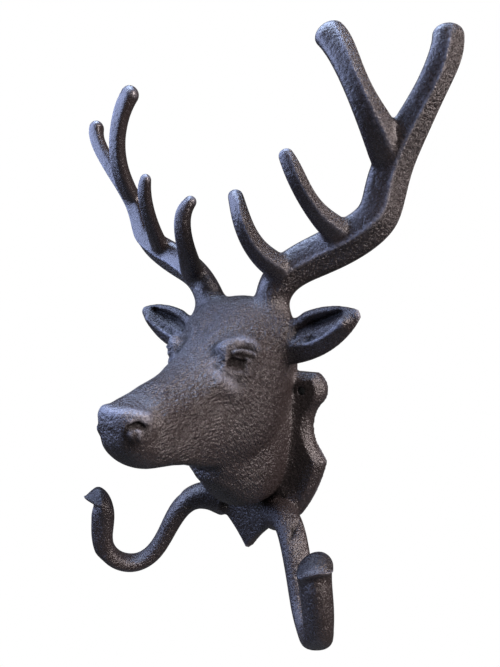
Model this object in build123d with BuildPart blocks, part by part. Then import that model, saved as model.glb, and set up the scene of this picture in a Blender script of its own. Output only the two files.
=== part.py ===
from build123d import *
from math import cos, radians, sin
import os

# Stag's head coat rack, cast in iron as one piece.
# Millimetres. The wall is the plane Y = 0 and the head looks along -Y. Z = 0 is the line of the screw holes,
# and X = 0 is the mirror plane of the casting.

# Shield plate against the wall
plate_thickness = 10.0
plate_bevel = 4.0
plate_top = 10.4
plate_ear_half_width = 47.2
plate_ear_height = 1.3
plate_ear_round = 6.0
plate_waist_half_width = 39.0
plate_waist_height = -19.0
plate_side_half_width = 48.0
plate_side_height = -40.0
plate_side_rise = 9.5
plate_side_run = 6.5
plate_flank_half_width = 43.3
plate_flank_height = -55.5
plate_shoulder_half_width = 33.0
plate_shoulder_height = -74.0
plate_ogee_half_width = 12.5
plate_ogee_height = -86.5
plate_tip_height = -101.0

# Screw holes through the plate's upper ears
screw_spacing = 69.0
screw_hole_diameter = 5.0

# Head: rings parallel to the wall.
# Each is (distance from the wall, half width, top, bottom, height of the widest point)
head_rings = [
    (0.0, 27.0, 48.0, -34.0, 8.0),
    (12.0, 30.0, 53.0, -38.0, 8.0),
    (25.0, 32.0, 54.0, -41.0, 6.0),
    (38.0, 31.5, 50.0, -42.0, 6.0),
    (50.0, 27.2, 40.5, -41.0, 8.0),
    (60.0, 21.5, 29.2, -38.0, 8.0),
    (70.0, 18.2, 20.0, -34.5, 2.0),
    (82.0, 16.3, 13.4, -31.5, -6.0),
    (94.0, 15.3, 9.5, -30.0, -9.0),
    (104.0, 15.0, 6.8, -28.0, -9.0),
    (111.5, 14.0, 4.3, -24.0, -8.0),
    (116.8, 11.0, 1.6, -18.0, -7.0),
    (119.5, 6.5, -2.0, -11.5, -6.5),
]
nose_tip = (0.0, -120.7, -6.5)
head_squareness = 0.85

# Neck swelling below the jaw, as rings of the same kind
neck_rings = [
    (0.0, 26.0, 20.0, -66.0, -20.0),
    (10.0, 28.5, 20.0, -69.0, -22.0),
    (21.0, 28.5, 16.0, -69.5, -25.0),
    (31.0, 25.0, 8.0, -66.0, -28.0),
    (40.0, 19.0, -4.0, -58.5, -32.0),
    (47.5, 14.5, -18.0, -51.5, -36.0),
]
neck_front = (0.0, -52.0, -39.0)
ring_points = 12

# Hollow behind the head, open at the wall
hollow_rings = [
    (0.0, 21.5, 43.0, -58.0, -5.0),
    (18.0, 24.0, 48.0, -59.0, -5.0),
    (34.0, 22.0, 44.0, -36.0, 5.0),
    (48.0, 17.0, 34.0, -30.0, 4.0),
    (60.0, 10.0, 20.0, -22.0, 0.0),
]
hollow_end = (0.0, -66.0, 0.0)

# Eyes and nostrils
eye_place = (17.4, -56.5, 22.0)
eye_radius = 6.6
nostril_place = (12.5, -115.5, -6.5)
nostril_radius = 3.2

# Ears: a leaf along a line from the skull to the tip, hollowed on its front near the upper edge
ear_root = (24.0, -22.0, 23.2)
ear_tip = (73.5, -26.0, 44.4)
ear_half_width = 12.2
ear_half_depth = 5.2
ear_hollow_front = 3.8
ear_hollow_rise = 2.4
# Leaf and hollow as (share of the length, share of the half width, share of the half depth)
ear_leaf = [(0.0, 0.78, 1.0), (0.3, 1.02, 0.95), (0.57, 1.0, 0.8), (0.83, 0.66, 0.6), (1.0, 0.18, 0.3)]
ear_cup = [(0.24, 0.3, 0.8), (0.46, 0.55, 0.85), (0.7, 0.46, 0.75), (0.92, 0.14, 0.4)]

# Antlers: one branch is a list of (point on its centre line, half width, half depth).
# The beam ends in the outer prong, and the other branches start inside it.
antler_face = (0.60, -0.745, -0.29)
beam = [
    ((19.0, -21.0, 40.0), 12.5, 10.5),
    ((22.2, -23.2, 53.0), 9.9, 8.8),
    ((30.5, -24.0, 65.0), 10.8, 7.8),
    ((45.0, -21.5, 73.5), 11.3, 7.4),
    ((64.0, -19.0, 82.4), 11.5, 7.2),
    ((79.2, -19.5, 94.0), 11.0, 6.8),
    ((85.0, -22.0, 112.0), 10.6, 6.2),
    ((92.4, -26.0, 126.0), 9.6, 5.6),
    ((100.6, -29.6, 138.0), 8.2, 5.0),
    ((108.5, -32.5, 151.0), 7.6, 4.6),
    ((112.4, -33.8, 165.8), 7.2, 4.8),
]
brow_tine = [
    ((33.5, -18.5, 62.5), 6.0, 5.5),
    ((28.8, -31.5, 68.5), 7.4, 6.4),
    ((23.6, -41.8, 75.5), 6.2, 5.3),
    ((19.7, -51.8, 89.0), 5.0, 4.5),
    ((14.8, -51.8, 103.0), 4.0, 3.4),
]
middle_tine = [
    ((65.0, -15.0, 81.0), 6.0, 4.5),
    ((60.5, -26.0, 86.0), 7.2, 5.2),
    ((55.3, -36.5, 92.5), 5.6, 4.4),
    ((49.8, -49.5, 106.0), 4.7, 3.8),
    ((45.3, -55.0, 118.2), 3.7, 3.1),
]
inner_prong = [
    ((84.5, -19.5, 109.0), 6.5, 4.0),
    ((85.4, -30.5, 123.5), 9.2, 5.4),
    ((80.6, -42.8, 137.0), 6.9, 4.9),
    ((74.0, -49.6, 153.5), 6.2, 4.6),
    ((63.8, -50.5, 171.8), 7.2, 5.0),
]

# The tip of a branch is closed by ellipses at these turns of a quarter circle
tip_turns = (35.0, 65.0)

# Hooks: straps that leave the plate forwards, drop, turn up again and end in a thin lip turned out.
# Each station is (point on the centre line, splay from straight ahead in degrees, width, thickness)
hook_stations = [
    ((18.6, -9.0, -74.4), 50.0, 15.0, 20.0),
    ((28.2, -15.0, -71.8), 50.0, 15.6, 16.5),
    ((37.3, -22.2, -76.2), 49.0, 15.5, 13.0),
    ((43.2, -26.8, -86.5), 48.0, 15.0, 11.4),
    ((47.8, -30.2, -98.0), 47.0, 14.5, 10.3),
    ((52.7, -34.4, -107.5), 44.0, 14.5, 9.6),
    ((59.3, -41.0, -112.8), 41.0, 14.5, 8.8),
    ((65.6, -49.5, -110.7), 38.0, 14.5, 9.2),
    ((70.2, -56.5, -102.0), 36.0, 14.8, 10.2),
    ((70.6, -59.0, -89.5), 34.0, 15.2, 11.4),
    ((69.3, -60.0, -77.5), 33.0, 15.6, 11.8),
    ((70.2, -63.0, -68.6), 33.0, 16.0, 10.4),
    ((73.9, -69.6, -67.6), 33.0, 16.0, 5.5),
]
hook_squareness = 0.85
hook_tip_round = 2.2


def ring_face(distance, half_width, top, bottom, widest):
    """Egg-shaped face parallel to the wall, widest at its own height and a little squarer than an ellipse."""
    points = []
    for step in range(ring_points):
        angle = radians(360 * step / ring_points)
        across, rise = cos(angle), sin(angle)
        reach = top - widest if rise >= 0 else widest - bottom
        x = half_width * abs(across) ** head_squareness * (1 if across >= 0 else -1)
        z = widest + reach * abs(rise) ** head_squareness * (1 if rise >= 0 else -1)
        points.append((x, z))
    with BuildSketch(Plane.XZ.offset(distance)) as ring:
        with BuildLine():
            Spline(*points, periodic=True)
        make_face()
    return ring.sketch.face()


def ringed_solid(rings, end):
    """Smooth solid through rings, closed by a rounded end at one point."""
    with BuildPart() as body:
        loft(sections=[*(ring_face(*ring) for ring in rings), Vertex(*end)])
    return body.part


def branch_solid(branch):
    """One antler branch: ellipses square to a smooth centre line, closed by a rounded tip."""
    points = [point for point, half_width, half_depth in branch]
    centre = Spline(*points)
    faces = []
    for point, half_width, half_depth in branch:
        along = centre % centre.param_at_point(point)
        wide = along.cross(Vector(*antler_face))
        faces.append(ellipse_face(Vector(*point), along, wide, half_width, half_depth))
    tip_faces = [faces[-1]]
    for turn in tip_turns:
        place = Vector(*point) + along * (half_depth * sin(radians(turn)))
        shrink = cos(radians(turn))
        tip_faces.append(ellipse_face(place, along, wide, half_width * shrink, half_depth * shrink))
    with BuildPart() as horn:
        loft(sections=faces)
        loft(sections=[*tip_faces, Vertex(*(Vector(*point) + along * half_depth))])
    return horn.part


def strap_face(place, along, across, width, thickness, shrink):
    """Flat rounded section of a strap, square to a direction and shrunk by a share."""
    points = []
    for step in range(ring_points):
        angle = radians(360 * step / ring_points)
        side, face = cos(angle), sin(angle)
        x = shrink * width / 2 * abs(side) ** hook_squareness * (1 if side >= 0 else -1)
        y = shrink * thickness / 2 * abs(face) ** hook_squareness * (1 if face >= 0 else -1)
        points.append((x, y))
    with BuildSketch(Plane(origin=place, x_dir=across, z_dir=along)) as band:
        with BuildLine():
            Spline(*points, periodic=True)
        make_face()
    return band.sketch.face()


def ellipse_face(place, along, wide, half_width, half_depth):
    """Ellipse square to a direction, with its long way set by a second direction."""
    with BuildSketch(Plane(origin=place, x_dir=wide, z_dir=along)) as oval:
        Ellipse(half_width, half_depth)
    return oval.sketch.face()


def shield_face(distance, inset):
    """Shield outline parallel to the wall, drawn in from the edge by an inset."""
    top = plate_top - inset
    ear_start = (plate_ear_half_width - plate_ear_round, top)
    ear_side = (plate_ear_half_width - inset, plate_ear_height)
    ear_end = (plate_ear_half_width - plate_bevel - inset, 2 * plate_ear_height - plate_top - inset / 2)
    waist = (plate_waist_half_width - inset, plate_waist_height)
    waist_end = (plate_side_half_width - plate_side_run - inset, plate_side_height + plate_side_rise)
    side = (plate_side_half_width - inset, plate_side_height)
    flank = (plate_flank_half_width - inset, plate_flank_height)
    shoulder = (plate_shoulder_half_width - inset, plate_shoulder_height + inset / 2)
    ogee = (plate_ogee_half_width, plate_ogee_height + inset / 2)
    tip = (0, plate_tip_height + inset / 2)
    with BuildSketch(Plane.XZ.offset(distance)) as shield:
        with BuildLine():
            Line((0, top), ear_start)
            ThreePointArc(ear_start, ear_side, ear_end)
            ThreePointArc(ear_end, waist, waist_end)
            Line(waist_end, side)
            ThreePointArc(side, flank, shoulder)
            ThreePointArc(shoulder, ogee, tip)
            mirror(about=Plane.YZ)
        make_face()
    return shield.sketch.face()


# Shield plate with its bevelled front edge
with BuildPart() as plate:
    extrude(shield_face(0, 0), amount=plate_thickness - plate_bevel)
    bevel_start = plate_thickness - plate_bevel
    loft(sections=[shield_face(bevel_start, 0), shield_face(plate_thickness, plate_bevel)], ruled=True)

# Hook strap on the +X side, with a rounded end
with BuildPart() as hook:
    strap = Spline(*(station[0] for station in hook_stations))
    straps = []
    for point, splay, width, thickness in hook_stations:
        along = strap % strap.param_at_point(point)
        level = Vector(cos(radians(splay)), sin(radians(splay)), 0)
        across = level - along * level.dot(along)
        straps.append(strap_face(Vector(*point), along, across, width, thickness, 1))
    ends = [straps[-1]]
    for turn in tip_turns:
        place = Vector(*point) + along * (hook_tip_round * sin(radians(turn)))
        ends.append(strap_face(place, along, across, width, thickness, cos(radians(turn))))
    loft(sections=straps)
    loft(sections=[*ends, Vertex(*(Vector(*point) + along * hook_tip_round))])

# Ear on the +X side, with its front hollow
ear_line = Vector(*ear_tip) - Vector(*ear_root)
ear_wide = ear_line.cross(Vector(0, 1, 0)).normalized()
ear_hollow_shift = ear_wide * ear_hollow_rise - Vector(0, ear_hollow_front, 0)
with BuildPart() as ear:
    leaf_shift = Vector(0, 0, 0)
    for shares, shift, cut in ((ear_leaf, leaf_shift, Mode.ADD), (ear_cup, ear_hollow_shift, Mode.SUBTRACT)):
        ovals = []
        for share, width_share, depth_share in shares:
            place = Vector(*ear_root) + ear_line * share + shift
            half_width = ear_half_width * width_share
            half_depth = ear_half_depth * depth_share
            ovals.append(ellipse_face(place, ear_line, ear_wide, half_width, half_depth))
        loft(sections=ovals, mode=cut)

# Antler on the +X side: its beam, two tines and the inner prong
with BuildPart() as antler:
    for branch in (beam, brow_tine, middle_tine, inner_prong):
        add(branch_solid(branch))

# The whole casting: the middle, then each side piece with its mirror image, then the cuts
with BuildPart() as casting:
    add(plate.part)
    add(ringed_solid(head_rings, nose_tip))
    add(ringed_solid(neck_rings, neck_front))
    for side_piece in (ear.part, antler.part, hook.part):
        add(side_piece)
        mirror(side_piece, about=Plane.YZ)
    eye_x, eye_y, eye_z = eye_place
    with Locations((eye_x, eye_y, eye_z), (-eye_x, eye_y, eye_z)):
        Sphere(eye_radius)
    nostril_x, nostril_y, nostril_z = nostril_place
    with Locations((nostril_x, nostril_y, nostril_z), (-nostril_x, nostril_y, nostril_z)):
        Sphere(nostril_radius, mode=Mode.SUBTRACT)
    add(ringed_solid(hollow_rings, hollow_end), mode=Mode.SUBTRACT)
    with Locations(Plane.XZ):
        with GridLocations(screw_spacing, 1, 2, 1):
            Cylinder(screw_hole_diameter / 2, 2 * plate_thickness, mode=Mode.SUBTRACT)

casting.part.label = "stag_head_casting"
os.makedirs("parts", exist_ok=True)
export_step(casting.part, "parts/stag_head_casting.step")
print("solids", len(casting.part.solids()), "volume cm3", round(casting.part.volume / 1000, 1))
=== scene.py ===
import bmesh
import bpy
import numpy as np
from mathutils import Matrix, Vector


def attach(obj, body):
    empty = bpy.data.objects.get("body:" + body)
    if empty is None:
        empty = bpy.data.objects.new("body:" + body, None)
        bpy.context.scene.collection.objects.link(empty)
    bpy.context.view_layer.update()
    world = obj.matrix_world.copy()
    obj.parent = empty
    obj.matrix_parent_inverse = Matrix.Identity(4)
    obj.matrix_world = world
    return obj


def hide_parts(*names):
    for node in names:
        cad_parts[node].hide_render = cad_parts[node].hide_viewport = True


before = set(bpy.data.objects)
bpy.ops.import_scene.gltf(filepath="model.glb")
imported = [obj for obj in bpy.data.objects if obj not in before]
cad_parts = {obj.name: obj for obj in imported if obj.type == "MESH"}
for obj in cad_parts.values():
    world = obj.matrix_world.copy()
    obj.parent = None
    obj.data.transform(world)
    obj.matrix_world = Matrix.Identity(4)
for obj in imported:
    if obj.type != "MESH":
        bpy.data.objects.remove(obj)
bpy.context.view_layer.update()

# Stag's head casting: plate, neck, head, ears, antlers and hooks poured in one sand mould in grey iron.
# Inside corners are rounded where the sand gave way, and a ridge runs down the front of each antler.
# The pattern maker cut the eyes, nostrils and hair; the iron is blackened, waxed and rubbed on the ridges.
# Highlights on the ridges, brows, cheekbones and nose, glints on the grain and shade in the hollows are
# painted into its colour.
mm = 0.001
skin_voxel = 0.65
triangle_limit = 192000
weld_gap = 0.01
casting = bpy.data.objects.new("stag_casting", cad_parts["stag_head_casting"].data.copy())
bpy.context.scene.collection.objects.link(casting)
casting.data.materials.clear()

# Webs of iron at the roots of ears and hooks, as (middle, radii) in millimetres on the +X side
webs = [
    ((28.0, -25.0, 31.0), (9.0, 8.0, 11.0)),
    ((27.0, -22.5, 41.0), (7.0, 7.0, 7.5)),
    ((20.5, -10.0, -78.0), (7.0, 6.0, 6.0)),
]
solid = bmesh.new()
solid.from_mesh(casting.data)
bmesh.ops.remove_doubles(solid, verts=solid.verts, dist=weld_gap * mm)
for (x, y, z), radii in webs:
    for place in ((x, y, z), (-x, y, z)):
        lay = Matrix.Translation(Vector(place) / 1000) @ Matrix.Diagonal((*(r / 1000 for r in radii), 1))
        bmesh.ops.create_icosphere(solid, subdivisions=4, radius=1.0, matrix=lay)
solid.to_mesh(casting.data)
solid.free()

# One skin round the solid and its webs
wrap = casting.modifiers.new("wrap", "REMESH")
wrap.mode = "VOXEL"
wrap.voxel_size = skin_voxel * mm
skin = bpy.data.meshes.new_from_object(casting.evaluated_get(bpy.context.evaluated_depsgraph_get()))
casting.modifiers.clear()
casting.data = skin


def read_points(mesh):
    """A mesh's points in millimetres."""
    flat = np.empty(len(mesh.vertices) * 3, np.float32)
    mesh.vertices.foreach_get("co", flat)
    return flat.reshape(-1, 3).astype(float) * 1000


def read_edges(mesh):
    pairs = np.empty(len(mesh.edges) * 2, np.int32)
    mesh.edges.foreach_get("vertices", pairs)
    return pairs.reshape(-1, 2)


def around_mean(values, edges, number):
    """Mean of the values at each point's neighbours."""
    first, second = edges.T
    total = np.bincount(first, weights=values[second], minlength=number)
    total += np.bincount(second, weights=values[first], minlength=number)
    links = np.bincount(first, minlength=number) + np.bincount(second, minlength=number)
    return total / np.maximum(links, 1)


def around_points(points, edges):
    return np.stack([around_mean(points[:, k], edges, len(points)) for k in range(3)], axis=1)


def smooth(points, edges, share, pull, steps):
    """Draw points towards the mean of their neighbours, each by its share."""
    for step in range(steps):
        points = points + pull * share[:, None] * (around_points(points, edges) - points)
    return points


def quad_normals(points, quads):
    cross = np.cross(points[quads[:, 2]] - points[quads[:, 0]], points[quads[:, 3]] - points[quads[:, 1]])
    total = np.zeros_like(points)
    for k in range(3):
        for corner in range(4):
            total[:, k] += np.bincount(quads[:, corner], weights=cross[:, k], minlength=len(points))
    return total / np.maximum(np.linalg.norm(total, axis=1, keepdims=True), 1e-9)


def fill_corners(points, edges, quads, share, steps):
    """Let inside corners fill up, as the rounded corners of a casting are."""
    pull, normals_kept = 0.6, 10
    for step in range(steps):
        if step % normals_kept == 0:
            normals = quad_normals(points, quads)
        hollow = ((around_points(points, edges) - points) * normals).sum(axis=1)
        points = points + normals * (pull * share * np.clip(hollow, 0, None))[:, None]
    return points


def to_right_side(points):
    """Both sides of the casting are alike, so carving is set out on the +X side alone."""
    return np.abs(points) * [1, 0, 0] + points * [0, 1, 1]


def bell(gap, width):
    return np.exp(-((gap / width) ** 2))


def ramp(value, low, high):
    t = np.clip((value - low) / (high - low), 0, 1)
    return t * t * (3 - 2 * t)


def gap_to(points, place):
    return np.linalg.norm(points - place, axis=1)


def line_gap(points, line):
    """Distance to a line of straight pieces, and the share of its length at the nearest place."""
    line = np.array(line, float)
    lengths = np.linalg.norm(np.diff(line, axis=0), axis=1)
    starts = np.concatenate([[0], np.cumsum(lengths)])
    best = np.full(len(points), np.inf)
    along = np.zeros(len(points))
    for k, length in enumerate(lengths):
        run = (line[k + 1] - line[k]) / length
        t = np.clip((points - line[k]) @ run, 0, length)
        gap = gap_to(points, line[k] + t[:, None] * run)
        nearer = gap < best
        best[nearer] = gap[nearer]
        along[nearer] = (starts[k] + t[nearer]) / starts[-1]
    return best, along


def near_places(points, places, core):
    """Nearness to any (place, reach), whole inside the core share of its reach and none beyond it."""
    share = np.zeros(len(points))
    for place, reach in places:
        share = np.maximum(share, ramp(-gap_to(points, place), -reach, -core * reach))
    return share


points = read_points(skin)
edges = read_edges(skin)
corners = np.empty(len(skin.loops), np.int32)
skin.loops.foreach_get("vertex_index", corners)
quads = corners.reshape(-1, 4)


def patch(share):
    """The skin's points that have a share, with the edges and quads that lie among them."""
    chosen = np.where(share > 0)[0]
    local = np.full(len(share), -1)
    local[chosen] = np.arange(len(chosen))
    inside = [local[links] for links in (edges, quads)]
    return chosen, *(links[(links >= 0).all(axis=1)] for links in inside)


# Cast corners: small ones everywhere but the flat back and the rims of the screw holes
screw_x, screw_rim, rim_fade = 34.5, 4.5, 2.0
back_kept, back_free = 1.5, 4.5
blur_pull, blur_steps, corner_steps = 0.5, 4, 90
from_screw = np.hypot(np.abs(points[:, 0]) - screw_x, points[:, 2])
free = ramp(-points[:, 1], back_kept, back_free) * ramp(from_screw, screw_rim, screw_rim + rim_fade)
points = smooth(points, edges, free, blur_pull, blur_steps)
points = fill_corners(points, edges, quads, free, corner_steps)

# The holes were cored a little under size
bore_cut, bore_reach = 0.2, 3.3
bore = np.where(from_screw < bore_reach)[0]
bore_pull = bore_cut / np.maximum(from_screw[bore], 1.0)
points[bore, 0] -= bore_pull * (points[bore, 0] - np.sign(points[bore, 0]) * screw_x)
points[bore, 2] -= bore_pull * points[bore, 2]

# Wide corners where antlers, tines, ears and hooks grow out and under the lips, as (place, reach)
wide_corners = [
    ((18, -29, 48), 27),
    ((31, -22, 34), 18),
    ((30, -27, 68), 13),
    ((60, -24, 86), 13),
    ((87, -27, 120), 17),
    ((26, -13, -72), 17),
    ((72.6, -67.3, -73), 12),
]
wide_core, wide_steps = 0.6, 520
side = to_right_side(points)
wide = near_places(side, wide_corners, wide_core) * free
chosen, patch_edges, patch_quads = patch(wide)
points[chosen] = fill_corners(points[chosen], patch_edges, patch_quads, wide[chosen], wide_steps)

# The moulder's thumb smoothed the sand where ears and antlers leave the head and under the hooks' roots
thumb_places = [((30, -26, 35), 16), ((21.6, -15, -81), 6.5)]
thumb_core, thumb_pull, thumb_steps = 0.5, 0.6, 120
thumb_back, thumb_front = 8, 11
thumb = near_places(side, thumb_places, thumb_core) * (free * ramp(-points[:, 1], thumb_back, thumb_front))
chosen, patch_edges, _ = patch(thumb)
points[chosen] = smooth(points[chosen], patch_edges, thumb[chosen], thumb_pull, thumb_steps)

# Antlers: a ridge down the front of each branch, as (centre line, mean radius)
ridge_front = np.array([0.52, -0.85, -0.05])
antler_branches = [
    ([(22.2, -23.2, 53), (30.5, -24, 65), (45, -21.5, 73.5), (64, -19, 82.4), (79.2, -19.5, 94),
      (85, -22, 112), (92.4, -26, 126), (100.6, -29.6, 138), (108.5, -32.5, 151), (112.4, -33.8, 171)], 8.5),
    ([(30.5, -27, 66.5), (23.6, -41.8, 75.5), (19.7, -51.8, 89), (14.8, -51.8, 107)], 5.0),
    ([(61.5, -24, 85), (55.3, -36.5, 92.5), (49.8, -49.5, 106), (45.3, -55, 122)], 4.5),
    ([(85.2, -29, 122), (80.6, -42.8, 137), (74, -49.6, 153.5), (63.8, -50.5, 177)], 5.6),
]
curve_steps, tip_steps, branch_blend = 8, 5, 1.0


def curve_points(line, steps):
    """Points on a smooth curve through a line's points."""
    line = np.array(line, float)
    curve = []
    for k in range(len(line) - 1):
        before, here, after = line[max(k - 1, 0)], line[k], line[k + 1]
        beyond = line[min(k + 2, len(line) - 1)]
        for t in np.linspace(0, 1, steps, endpoint=False):
            bend = (2 * before - 5 * here + 4 * after - beyond) * t ** 2
            twist = (3 * here - before - 3 * after + beyond) * t ** 3
            curve.append(0.5 * (2 * here + (after - before) * t + bend + twist))
    return np.array(curve + [line[-1]])


def antler_turn(points):
    """For each branch: the angle round it from its front, the distance from its middle, a share that
    falls to nothing at its tip, and its share of the point."""
    gaps, turns, sizes, ends = [], [], [], []
    for line, radius in antler_branches:
        middle = curve_points(line, curve_steps)
        runs = np.gradient(middle, axis=0)
        runs /= np.linalg.norm(runs, axis=1, keepdims=True)
        far = np.stack([gap_to(points, place) for place in middle], axis=1)
        nearest = far.argmin(axis=1)
        run = runs[nearest]
        outward = points - middle[nearest]
        outward -= (outward * run).sum(axis=1)[:, None] * run
        front = ridge_front - (run @ ridge_front)[:, None] * run
        front /= np.linalg.norm(front, axis=1, keepdims=True)
        across = np.cross(run, front)
        gaps.append(far.min(axis=1) - radius)
        turns.append(np.arctan2((outward * across).sum(axis=1), (outward * front).sum(axis=1)))
        sizes.append(np.linalg.norm(outward, axis=1))
        ends.append(ramp(len(middle) - 1 - nearest, 0, tip_steps))
    gaps = np.array(gaps)
    shares = np.exp(-(gaps - gaps.min(axis=0)) / branch_blend)
    return np.array(turns), np.array(sizes), np.array(ends), shares / shares.sum(axis=0)


def on_antlers(side):
    antler_bottom, antler_inside = 55, 7
    return np.where((side[:, 2] > antler_bottom) & (side[:, 0] > antler_inside))[0]


# The ridge and its flanks as shares of the branch's thickness and angles round it, with the mould's parting
ridge_height, ridge_angle, ridge_power = 0.14, 0.28, 1.6
flank_depth, flank_place, flank_angle = 0.085, 0.85, 0.42
parting_depth, parting_place, parting_angle = 0.030, 0.20, 0.055
ridge_start, ridge_full = 57, 70
antler = on_antlers(side)
turns, sizes, ends, shares = antler_turn(to_right_side(points[antler]))
ridge = ridge_height * np.exp(-(np.abs(turns) / ridge_angle) ** ridge_power)
ridge -= flank_depth * bell(np.abs(turns) - flank_place, flank_angle)
parting = -parting_depth * bell(turns - parting_place, parting_angle)
parting[1:] = 0
lift = ((ridge * ends + parting) * sizes * shares).sum(axis=0)
normals = quad_normals(points, quads)
points[antler] += normals[antler] * (lift * ramp(points[antler, 2], ridge_start, ridge_full))[:, None]

# Head: each form is (line, height, half width); below nothing it is a hollow
head_back, head_half, head_bottom, head_top = -14, 36, -72, 60
brow = ([(14.8, -61.2, 25.8), (17.4, -60.0, 27.3), (20.1, -56.5, 28.5), (22.3, -51.6, 28.5),
         (24.3, -48.4, 27.2), (26.7, -45.6, 24.5)], 2.1, 3.0)
above_brow = ([(12.0, -63.2, 23.2), (10.1, -60.0, 28.0), (12.0, -56.6, 31.5), (16.5, -52.4, 34.0),
               (21.1, -48.3, 34.5), (25.5, -44.3, 31.5), (28.3, -40.7, 26.0)], -0.9, 3.2)
low_wrinkle = ([(5.0, -60.0, 28.8), (6.0, -57.2, 31.9), (9.2, -53.8, 34.6), (13.4, -50.8, 36.3)], 0.4, 1.0)
high_wrinkle = ([(1.5, -57.2, 32.3), (3.6, -54.1, 35.5), (7.7, -51.0, 38.2)], 0.3, 1.0)
crown = ([(0, -31.0, 52.0), (0, -40.0, 48.5)], -1.3, 9.0)
beside_bridge = ([(8.5, -65.5, 22.5), (14.0, -66.5, 18.5)], -1.0, 4.5)
cheekbone = ([(18.7, -67.6, 8.0), (20.8, -61.5, 3.6), (23.4, -55.5, 0.8)], 1.5, 4.0)
under_eye = ([(16.5, -66.0, 16.0), (19.5, -63.6, 12.5), (23.0, -56.5, 9.5)], -1.0, 3.6)
temple = ([(26.5, -47.0, 13.5), (27.5, -44.0, 5.0)], -0.7, 5.0)
muzzle_side = ([(19.0, -73.0, -6.0), (16.5, -88.0, -9.0)], -0.9, 6.0)
jaw = ([(9.5, -79.0, -29.0), (9.0, -66.0, -34.0), (16.0, -48.0, -40.0)], 1.3, 4.5)
dewlap = ([(7.0, -58.0, -44.0), (14.0, -47.0, -47.5)], -1.0, 4.0)
forehead = ([(0, -58.0, 33.0), (0, -48.0, 42.0)], -0.7, 5.5)
nose_bridge = ([(0, -103.0, 9.0), (0, -112.5, 5.5)], -1.5, 5.0)
nose_shoulder = ([(7.0, -102.0, 7.0), (8.0, -110.0, 3.8)], -1.2, 4.5)
nose_edge = ([(0, -118.4, -0.4), (5.9, -117.6, -0.4), (10.0, -114.4, -0.3), (13.1, -110.6, -2.0)], 0.9, 2.3)
nose_front = ([(0, -120.0, -8.0), (4.0, -119.6, -9.0)], -0.6, 4.0)
head_forms = [
    brow, above_brow, low_wrinkle, high_wrinkle, crown, beside_bridge, cheekbone, under_eye, temple,
    muzzle_side, jaw, dewlap, forehead, nose_bridge, nose_shoulder, nose_edge, nose_front,
]
on_head = (points[:, 1] < head_back) & (np.abs(points[:, 0]) < head_half)
head = np.where(on_head & (points[:, 2] > head_bottom) & (points[:, 2] < head_top))[0]
spot = to_right_side(points[head])
cut = np.zeros(len(head))
for line, height, width in head_forms:
    cut += height * bell(line_gap(spot, line)[0], width)

# Eye: nearly closed, the ball sunk under a lid that lies in folds, all on one plane facing out and forward
eye, eye_out = np.array([22.9, -55.4, 20.9]), np.array([0.83, -0.52, 0.20])
eye_reach, eye_whole = 17, 12
fold_tip, fold_full = -0.02, 0.15
eye_forms = [
    ([(18.8, -62.6, 19.0), (22.5, -58.0, 18.8), (25.0, -52.8, 18.8)], -2.5, 4.4),
    ([(20.2, -61.6, 18.6), (22.0, -58.1, 17.3), (24.3, -54.2, 16.6)], -0.9, 1.8),
    ([(22.4, -59.1, 25.7), (22.8, -55.0, 25.9), (24.0, -51.0, 25.3), (26.3, -47.8, 23.8)], -0.7, 0.7),
    ([(21.0, -61.6, 22.8), (22.8, -59.0, 24.0), (23.6, -54.5, 24.2), (25.2, -50.2, 23.0),
      (27.3, -46.8, 20.6)], 1.0, 0.9),
    ([(22.4, -60.0, 21.4), (23.8, -57.0, 22.0), (24.2, -53.2, 21.8), (25.6, -50.4, 20.4)], -0.7, 0.6),
    ([(23.5, -58.6, 20.3), (24.2, -55.6, 20.7), (24.9, -52.4, 19.9), (26.0, -50.2, 18.2)], 0.8, 0.8),
    ([(23.2, -57.6, 18.9), (24.6, -54.6, 19.0), (25.5, -52.2, 18.0)], -0.5, 0.5),
    ([(17.5, -63.1, 21.8), (19.0, -62.6, 20.1), (21.3, -61.6, 20.2)], 0.6, 0.7),
    ([(16.9, -63.8, 18.0), (20.0, -61.2, 14.8), (22.2, -58.2, 13.4), (24.6, -54.0, 13.2)], 0.6, 1.7),
]
eye_out /= np.linalg.norm(eye_out)
in_plane = np.eye(3) - np.outer(eye_out, eye_out)
near_eye = ramp(-gap_to(spot, eye), -eye_reach, -eye_whole)
for line, height, width in eye_forms:
    gap, along = line_gap(spot @ in_plane, np.array(line) @ in_plane)
    fold_share = ramp(along, fold_tip, fold_full) * ramp(1 - along, fold_tip, fold_full)
    cut += height * bell(gap, width) * near_eye * fold_share

# Nostril: a groove curling round a low bump, with a raised wing outside it and a hollow below
slit = [(7.8, -117.6, -11.0), (7.8, -118.4, -8.3), (9.2, -117.6, -5.9), (11.2, -114.6, -5.0),
        (13.0, -111.8, -6.6), (13.0, -112.0, -9.4)]
slit_depth, slit_width, slit_start, slit_full, slit_end = 1.5, 1.15, 7.5, 11.0, 0.2
wing_height, wing_gap, wing_width, wing_start, wing_full = 0.30, 2.6, 1.3, 8.0, 11.0
bump_place, bump_height, bump_width = (11.4, -113.8, -8.2), 0.8, 2.4
below_place, below_depth, below_width = (9.6, -116.0, -13.0), 0.9, 3.0
gap, along = line_gap(spot, slit)
slit_share = ramp(spot[:, 0], slit_start, slit_full) * ramp(1 - along, 0, slit_end)
cut -= slit_depth * bell(gap, slit_width) * slit_share
cut += wing_height * bell(gap - wing_gap, wing_width) * ramp(spot[:, 0], wing_start, wing_full)
cut += bump_height * bell(gap_to(spot, bump_place), bump_width)
cut -= below_depth * bell(gap_to(spot, below_place), below_width)
normals = quad_normals(points, quads)
points[head] += normals[head] * cut[:, None]

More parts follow.
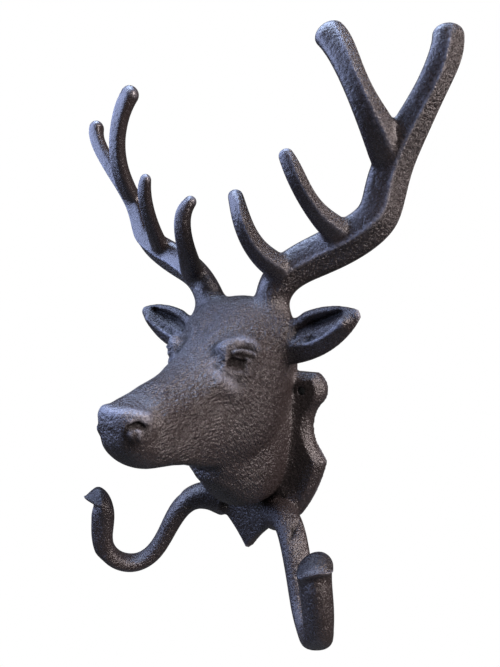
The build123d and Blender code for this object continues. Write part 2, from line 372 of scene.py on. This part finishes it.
# Ears: a deep slot under the upper edge, and a broad flange below it
ear_inside, ear_bottom, ear_top, ear_back = 30, 10, 56, -15
ear_slot = [(38.0, -24.0, 34.0), (46.0, -24.0, 38.0), (55.0, -25.0, 41.0), (63.0, -27.0, 44.0)]
ear_flange = [(38.5, -25.5, 28.5), (49.5, -26.0, 32.0), (58.6, -27.0, 36.0), (65.0, -28.0, 39.5)]
slot_depth, slot_width, flange_height, flange_width = 2.8, 1.9, 3.5, 4.0
beside_head = (np.abs(points[:, 0]) > ear_inside) & (points[:, 1] < ear_back)
ears = np.where(beside_head & (points[:, 2] > ear_bottom) & (points[:, 2] < ear_top))[0]
spot = to_right_side(points[ears])
facing_front = np.clip(-normals[ears, 1], 0, 1) ** 2
dig = flange_height * bell(line_gap(spot, ear_flange)[0], flange_width)
dig -= slot_depth * bell(line_gap(spot, ear_slot)[0], slot_width)
points[ears] += normals[ears] * (dig * facing_front)[:, None]

# Hooks: the strap's outer face is crowned
hook_inside, hook_top, hook_back = 40, -55, -20
strap_middle = [(70.5, -57.5, -109.0), (72.8, -60.2, -104.4), (73.8, -63.7, -89.5), (72.8, -65.0, -80.0)]
crown_height, crown_width, crown_start = 1.3, 4.0, 0.3
edge_fall, edge_gap, edge_width = 0.8, 6.8, 2.2
on_hooks = (np.abs(points[:, 0]) > hook_inside) & (points[:, 2] < hook_top)
hooks = np.where(on_hooks & (points[:, 1] < hook_back))[0]
spot = to_right_side(points[hooks])
gap, along = line_gap(spot, strap_middle)
crowning = crown_height * bell(gap, crown_width) - edge_fall * bell(gap - edge_gap, edge_width)
points[hooks] += normals[hooks] * (crowning * ramp(along, 0, crown_start))[:, None]

# Lips: thinned to a wedge, arched and tilted, the stag's right one drawn back at its inner corner
bend_top = np.array([70.2, -63.0, -68.6])
lip_run, lip_across = np.array([0.49, -0.87, 0]), np.array([0.87, 0.49, 0])
lip_length, lip_half, lip_drop, lip_arch, lip_round = 8.5, 8.0, 3.0, 2.2, 2.0
right_tilt, left_tilt, right_drawn = 0.12, 0.24, 4.5
lip_start, lip_level, arch_level, tilt_level = (-0.2, 1.0), (-76, -71), (-78, -68), (-82, -68)
lip_pull, lip_steps = 0.5, 8
across = (spot - bend_top) @ lip_across
outward = ramp((spot - bend_top) @ lip_run / lip_length, *lip_start) * ramp(spot[:, 2], *lip_level)
right_hook = points[hooks, 0] < 0
points[hooks, 2] -= lip_drop * outward * np.clip(normals[hooks, 2], 0, 1)
tilt = np.where(right_hook, right_tilt, left_tilt)
points[hooks, 2] += tilt * ramp(spot[:, 2], *tilt_level) * across
points[hooks, 2] -= lip_arch * ramp(spot[:, 2], *arch_level) * (across / lip_half) ** 2
drawn_back = np.where(right_hook, right_drawn * ramp(-across, -lip_half, lip_half), 0)
drawn_back += lip_round * (across / lip_half) ** 2
way_out = np.where(right_hook[:, None], lip_run * [-1, 1, 1], lip_run)
points[hooks] -= (outward * drawn_back)[:, None] * way_out
lip_share = np.zeros(len(points))
lip_share[hooks] = outward
points = smooth(points, edges, lip_share, lip_pull, lip_steps)
skin.vertices.foreach_set("co", (points / 1000).astype(np.float32).ravel())
skin.update()

# Thin the skin where it is plain and keep it dense on the face
face_back, face_half, face_bottom, face_top = -42, 32, -30, 42
plain_share, face_share = 1.0, 0.2
on_face = (points[:, 1] < face_back) & (np.abs(points[:, 0]) < face_half)
on_face &= (points[:, 2] > face_bottom) & (points[:, 2] < face_top)
plain = casting.vertex_groups.new(name="plain")
plain.add(np.where(~on_face)[0].tolist(), plain_share, "REPLACE")
plain.add(np.where(on_face)[0].tolist(), face_share, "REPLACE")
thin = casting.modifiers.new("thin", "DECIMATE")
thin.ratio = min(1.0, triangle_limit / (2 * len(quads)))
thin.vertex_group = plain.name
shape = bpy.data.meshes.new_from_object(casting.evaluated_get(bpy.context.evaluated_depsgraph_get()))
casting.modifiers.clear()
casting.vertex_groups.clear()
casting.data = shape
shape.name = casting.name
shape.shade_smooth()

# How much the thinned skin bends out or in at each point, per millimetre
points = read_points(shape)
edges = read_edges(shape)
number = len(points)
flat = np.empty(number * 3, np.float32)
shape.vertices.foreach_get("normal", flat)
normals = flat.reshape(-1, 3).astype(float)
side = to_right_side(points)
lengths = np.linalg.norm(points[edges[:, 0]] - points[edges[:, 1]], axis=1)
spans = np.bincount(edges[:, 0], weights=lengths, minlength=number)
spans += np.bincount(edges[:, 1], weights=lengths, minlength=number)
spans /= np.bincount(edges.ravel(), minlength=number)
bend = ((points - around_points(points, edges)) * normals).sum(axis=1) / spans ** 2
bend_blurs = 4
for step in range(bend_blurs):
    bend = 0.5 * bend + 0.5 * around_mean(bend, edges, number)

# Hair was cut on neck and head, up to the nose and round the eyes, and slants down behind the muzzle
hair_half, bare_eye, hairy_eye = 34, 6, 10
hair_root, hair_nose, hair_low, hair_crown = (20, 34), (-108, -100), (-74, -66), (-54, -44)
hair_slant = (-80, -50)
hair = ramp(-points[:, 1], *hair_root) * ramp(points[:, 1], *hair_nose) * (side[:, 0] < hair_half)
hair *= ramp(points[:, 2], *hair_low) * ramp(-points[:, 2], *hair_crown)
hair *= 1 - ramp(-gap_to(side, eye), -hairy_eye, -bare_eye)
slant = ramp(points[:, 1], *hair_slant)

# The sand was coarser round the eyes and on the outer sides of the antlers than elsewhere
head_sand, eye_sand, eye_sand_width = 0.55, 0.9, 8
antler_sand, antler_sand_change, antler_outside, antler_back = 0.62, 0.37, (-0.15, 0.25), 1.1
coarse = head_sand + eye_sand * bell(gap_to(side, eye), eye_sand_width)
antler = on_antlers(side)
turns, _, ends, shares = antler_turn(side[antler])
outer_side = (2 * ramp(turns, *antler_outside) - 1) * ramp(np.pi - np.abs(turns), 0, antler_back)
coarse[antler] = (shares * (antler_sand + antler_sand_change * outer_side)).sum(axis=0)

# Edges and antler ridges: partly rubbed wax, partly painted highlight. Painted highlights on brows,
# cheekbones and nose, as (line, width, share)
painted_highlight_places = [
    ([(16.0, -61.0, 26.5), (20.1, -56.5, 29.0), (22.3, -51.6, 29.0), (25.0, -47.8, 27.0)], 3.0, 1.0),
    ([(15.7, -66.3, 16.0), (18.9, -64.6, 12.5), (21.5, -60.0, 8.5)], 4.2, 0.75),
    ([(0, -118.8, -0.2), (5.9, -118.0, -0.2), (10.0, -114.8, -0.2), (13.1, -110.9, -2.0)], 2.4, 1.0),
]
edge_wear_highlight_start, edge_wear_highlight_full, hair_keeps = 0.05, 0.20, 0.6
ridge_wear_highlight_angle, ridge_wear_highlight_start, ridge_wear_highlight_full = 0.13, 60, 72
# Convex edges lighter: partly rubbed wear, partly painted highlight
edge_wear_and_highlight = ramp(bend, edge_wear_highlight_start, edge_wear_highlight_full) * (1 - hair_keeps * hair)
# Antler ridges lighter: partly rubbed wear, partly painted highlight
ridge_wear_and_highlight = np.zeros(number)
ridge_wear_and_highlight[antler] = (shares * ends * bell(turns, ridge_wear_highlight_angle)).sum(axis=0)
ridge_wear_and_highlight *= ramp(points[:, 2], ridge_wear_highlight_start, ridge_wear_highlight_full)
# Painted highlights along the brows, cheekbones and the nose edge
painted_highlight_lines = [share * bell(line_gap(side, line)[0], width) for line, width, share in painted_highlight_places]

# Painted shade: the colour is darkened in corners, eyes, ears and nostrils, below the nostrils, and on top
# of the lips inside their edge
dark_corner = 0.10
eye_drop, eye_dark, eye_dark_width = (0, 0, 2.0), 0.95, 5.8
ear_dark_width, slit_dark_width = 4.5, 1.3
below_dark_place, below_dark_width = (9.6, -116.5, -13.0), 3.4
lip_dark, lip_dark_top = 0.8, -50
lip_dark_start, lip_dark_edge = (-5, 0), (-8.0, -5.5)
lip_dark_low, lip_dark_facing_up = (-74, -69), (0.1, 0.4)
# Painted shade in inside corners, round the eye, in the ear slot and along the nostril slit
in_corner = ramp(-bend, 0, dark_corner)
in_eye = eye_dark * bell(gap_to((side - eye) @ in_plane, -np.array(eye_drop)), eye_dark_width)
in_ear = bell(line_gap(side, ear_slot)[0], ear_dark_width) * np.clip(-normals[:, 1], 0, 1)
in_slit = bell(line_gap(side, slit)[0], slit_dark_width)
# Painted shadow below the nostril
below_slit = bell(gap_to(side, below_dark_place), below_dark_width)
# Painted shade on top of the lips inside their edge
from_bend = (side - bend_top) @ lip_run
on_lip = ramp(from_bend, *lip_dark_start) * ramp(-from_bend, *lip_dark_edge)
on_lip *= ramp(side[:, 2], *lip_dark_low) * ramp(normals[:, 2], *lip_dark_facing_up)
on_lip *= side[:, 2] < lip_dark_top
point_maps = {
    # The first map is rubbed wear and painted highlight, the second painted shade
    "wear_and_highlight": np.maximum.reduce([edge_wear_and_highlight, ridge_wear_and_highlight, *painted_highlight_lines]),
    "painted_shade": np.maximum.reduce([in_corner, in_eye, in_ear, in_slit, below_slit, lip_dark * on_lip]),
    "hair": hair,
    "slant": slant,
    "coarse": coarse,
}
for name, values in point_maps.items():
    layer = shape.attributes.new(name, "FLOAT", "POINT")
    layer.data.foreach_set("value", values.astype(np.float32))

# Iron blackened and waxed: sand grain, bright specks painted as glints, worn places with painted highlights,
# painted shade in the hollows and combed hair
iron_low, iron_high = (0.022, 0.016, 0.015), (0.040, 0.030, 0.029)
# The speck tone paints glints, the worn tone paints rubbed iron and highlights, and the dark tone paints
# shade
speck_tone, wear_and_highlight_tone, painted_shade_tone = (0.12, 0.105, 0.11), (0.29, 0.30, 0.35), (0.008, 0.007, 0.007)
speck_gain, speck_start, speck_share = 8.0, -4.4, 0.8
wear_and_highlight_gain, wear_and_highlight_offset = 1.6, -0.15
painted_shade_share, wax_shine, shine_lost = 0.85, 1.0, -0.75
smoothest, sand_roughness = 0.13, 0.30
sand_bump, swell_bump, hair_bump = 1.7, 0.4, 2.2
iron = bpy.data.materials.new("waxed_black_iron")
iron.use_nodes = True
nodes, links = iron.node_tree.nodes, iron.node_tree.links
wax = nodes["Principled BSDF"]
place = nodes.new("ShaderNodeTexCoord")


def grain(per_mm, stretch, tilt, detail):
    """Noise in the casting's own millimetres, stretched and tilted about X."""
    lay = nodes.new("ShaderNodeMapping")
    lay.vector_type = "TEXTURE"
    lay.inputs["Rotation"].default_value = (tilt, 0, 0)
    lay.inputs["Scale"].default_value = [mm * s / per_mm for s in stretch]
    links.new(place.outputs["Object"], lay.inputs["Vector"])
    noise = nodes.new("ShaderNodeTexNoise")
    noise.inputs["Scale"].default_value = 1.0
    noise.inputs["Detail"].default_value = detail
    noise.inputs["Roughness"].default_value = 0.6
    links.new(lay.outputs["Vector"], noise.inputs["Vector"])
    return noise.outputs["Fac"]


def point_map(name):
    node = nodes.new("ShaderNodeAttribute")
    node.attribute_name = name
    return node.outputs["Fac"]


def reckon(kind, *values):
    node = nodes.new("ShaderNodeMath")
    node.operation = kind
    for socket, value in zip(node.inputs, values):
        if isinstance(value, float):
            socket.default_value = value
        else:
            links.new(value, socket)
    return node.outputs[0]


def tint(share, first, second):
    node = nodes.new("ShaderNodeMix")
    node.data_type = "RGBA"
    links.new(share, node.inputs["Factor"])
    for socket, value in ((node.inputs[6], first), (node.inputs[7], second)):
        if isinstance(value, tuple):
            socket.default_value = (*value, 1)
        else:
            links.new(value, socket)
    return node.outputs[2]


sand = grain(per_mm=0.65, stretch=(1, 1, 1), tilt=0, detail=5.0)
specks = grain(per_mm=1.3, stretch=(1, 1, 1), tilt=0, detail=2.0)
swell = grain(per_mm=0.25, stretch=(1, 1, 1), tilt=0, detail=3.0)
straight_hair = grain(per_mm=0.8, stretch=(1, 3.4, 1), tilt=0.10, detail=2.0)
slant_hair = grain(per_mm=0.8, stretch=(1, 2.6, 1), tilt=-0.75, detail=2.0)
combed = nodes.new("ShaderNodeMix")
links.new(point_map("slant"), combed.inputs["Factor"])
links.new(straight_hair, combed.inputs[2])
links.new(slant_hair, combed.inputs[3])
strokes = reckon("MULTIPLY", combed.outputs[0], point_map("hair"))
# Rubbed wear and painted highlights, broken up by the sand grain
wear_and_highlight = reckon("MULTIPLY", point_map("wear_and_highlight"), reckon("MULTIPLY_ADD", sand, wear_and_highlight_gain, wear_and_highlight_offset))
painted_shade = point_map("painted_shade")
# Bright specks on the grain are painted glints
peaks = reckon("MULTIPLY_ADD", specks, speck_gain, speck_start)
peaks.node.use_clamp = True
colour = tint(swell, iron_low, iron_high)
colour = tint(reckon("MULTIPLY", peaks, speck_share), colour, speck_tone)
# Rubbed wear and painted highlights lighten the colour
colour = tint(wear_and_highlight, colour, wear_and_highlight_tone)
# Painted shade: the colour goes dark in the hollows, eye, ear, nostril and on the lips' tops
colour = tint(reckon("MULTIPLY", painted_shade, painted_shade_share), colour, painted_shade_tone)
links.new(colour, wax.inputs["Base Color"])
# The painted shade also takes shine away
links.new(reckon("MULTIPLY_ADD", painted_shade, shine_lost, wax_shine), wax.inputs["Specular IOR Level"])
links.new(reckon("MULTIPLY_ADD", sand, sand_roughness, smoothest), wax.inputs["Roughness"])
height = reckon("MULTIPLY", sand, reckon("MULTIPLY", point_map("coarse"), sand_bump))
height = reckon("MULTIPLY_ADD", swell, swell_bump, height)
height = reckon("MULTIPLY_ADD", strokes, hair_bump, height)
bump = nodes.new("ShaderNodeBump")
bump.inputs["Distance"].default_value = mm
links.new(height, bump.inputs["Height"])
links.new(bump.outputs["Normal"], wax.inputs["Normal"])
shape.materials.append(iron)
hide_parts("stag_head_casting")
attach(casting, "root")

# Floor: a plain pale board lying far below the rack.
# The camera sees it and the sky behind as plain white, and the iron mirrors a little of that white.
floor_drop, floor_half = -2.4, 1.0
board_tone, board_roughness = (0.72, 0.70, 0.68), 0.8
mirrored_white = 0.05


def white_for_camera(tree, lit, white, end):
    nodes, links = tree.nodes, tree.links
    ray = nodes.new("ShaderNodeLightPath")
    gloss = nodes.new("ShaderNodeMath")
    gloss.operation = "MAXIMUM"
    links.new(ray.outputs["Is Glossy Ray"], gloss.inputs[0])
    links.new(ray.outputs["Is Transmission Ray"], gloss.inputs[1])
    dim = nodes.new("ShaderNodeMath")
    dim.operation = "MULTIPLY"
    links.new(gloss.outputs[0], dim.inputs[0])
    dim.inputs[1].default_value = mirrored_white
    seen = nodes.new("ShaderNodeMath")
    seen.operation = "MAXIMUM"
    links.new(ray.outputs["Is Camera Ray"], seen.inputs[0])
    links.new(dim.outputs[0], seen.inputs[1])
    either = nodes.new("ShaderNodeMixShader")
    links.new(seen.outputs[0], either.inputs[0])
    links.new(lit, either.inputs[1])
    links.new(white, either.inputs[2])
    links.new(either.outputs[0], end)


floor_sides = ((-1, -1), (1, -1), (1, 1), (-1, 1))
floor_corners = [(x * floor_half, y * floor_half, floor_drop) for x, y in floor_sides]
floor = bpy.data.objects.new("floor", bpy.data.meshes.new("floor"))
floor.data.from_pydata(floor_corners, [], [(0, 1, 2, 3)])
bpy.context.scene.collection.objects.link(floor)
board = bpy.data.materials.new("pale_board")
board.use_nodes = True
board_paint = board.node_tree.nodes["Principled BSDF"]
board_paint.inputs["Base Color"].default_value = (*board_tone, 1)
board_paint.inputs["Roughness"].default_value = board_roughness
board_white = board.node_tree.nodes.new("ShaderNodeEmission")
board_end = board.node_tree.nodes["Material Output"].inputs["Surface"]
white_for_camera(board.node_tree, board_paint.outputs[0], board_white.outputs[0], board_end)
floor.data.materials.append(board)

# Light: a wide cool window at the front left, a soft cool top light and a soft warm lamp at the right.
# Each is (name, place and side in metres, watts, tint), turned to the rack; the room adds very little.
studio_lights = [
    ("left_sky", (-1.05, -0.72, 0.48), 1.4, 30.0, (0.50, 0.60, 1.0)),
    ("top_sky", (-0.30, -0.22, 1.15), 0.8, 23.0, (0.55, 0.68, 1.0)),
    ("right_lamp", (1.00, -0.05, 0.45), 0.5, 16.0, (1.0, 0.86, 0.84)),
]
lit_place = Vector((0, -0.03, 0.03))
room_tone, room_strength = (0.95, 0.92, 1.0), 0.02
for name, stand, size, power, shade in studio_lights:
    light = bpy.data.lights.new(name, "AREA")
    light.size = size
    light.energy = power
    light.color = shade
    lamp = bpy.data.objects.new(name, light)
    lamp.location = stand
    lamp.rotation_euler = (lit_place - Vector(stand)).to_track_quat("-Z", "Y").to_euler()
    lamp.visible_camera = False
    bpy.context.scene.collection.objects.link(lamp)
world = bpy.data.worlds.new("studio")
bpy.context.scene.world = world
world.use_nodes = True
room = world.node_tree.nodes["Background"]
room.inputs["Color"].default_value = (*room_tone, 1)
room.inputs["Strength"].default_value = room_strength
backdrop = world.node_tree.nodes.new("ShaderNodeBackground")
backdrop.inputs["Color"].default_value = (1, 1, 1, 1)
world_end = world.node_tree.nodes["World Output"].inputs["Surface"]
white_for_camera(world.node_tree, room.outputs[0], backdrop.outputs[0], world_end)
bpy.context.scene.view_settings.view_transform = "Standard"

# Camera: held close in front, to the right of the head and a little above it.
# Focal length and long side are in pixels, and the place is in metres from between the screw holes.
picture_long_side, picture_focal = 667.0, 500.0
camera_place = (0.161, -0.265, 0.0403)
camera_right, camera_up = (0.8438, 0.5359, 0.0267), (-0.0383, 0.0106, 0.9992)
camera_back = (0.5352, -0.8442, 0.0295)
camera = bpy.data.objects.new("camera", bpy.data.cameras.new("camera"))
camera.data.sensor_width = 36.0
camera.data.lens = picture_focal / picture_long_side * camera.data.sensor_width
camera.data.clip_start = 0.01
camera_turn = Matrix((camera_right, camera_up, camera_back)).transposed().to_4x4()
camera.matrix_world = Matrix.Translation(camera_place) @ camera_turn
bpy.context.scene.collection.objects.link(camera)
bpy.context.scene.camera = camera
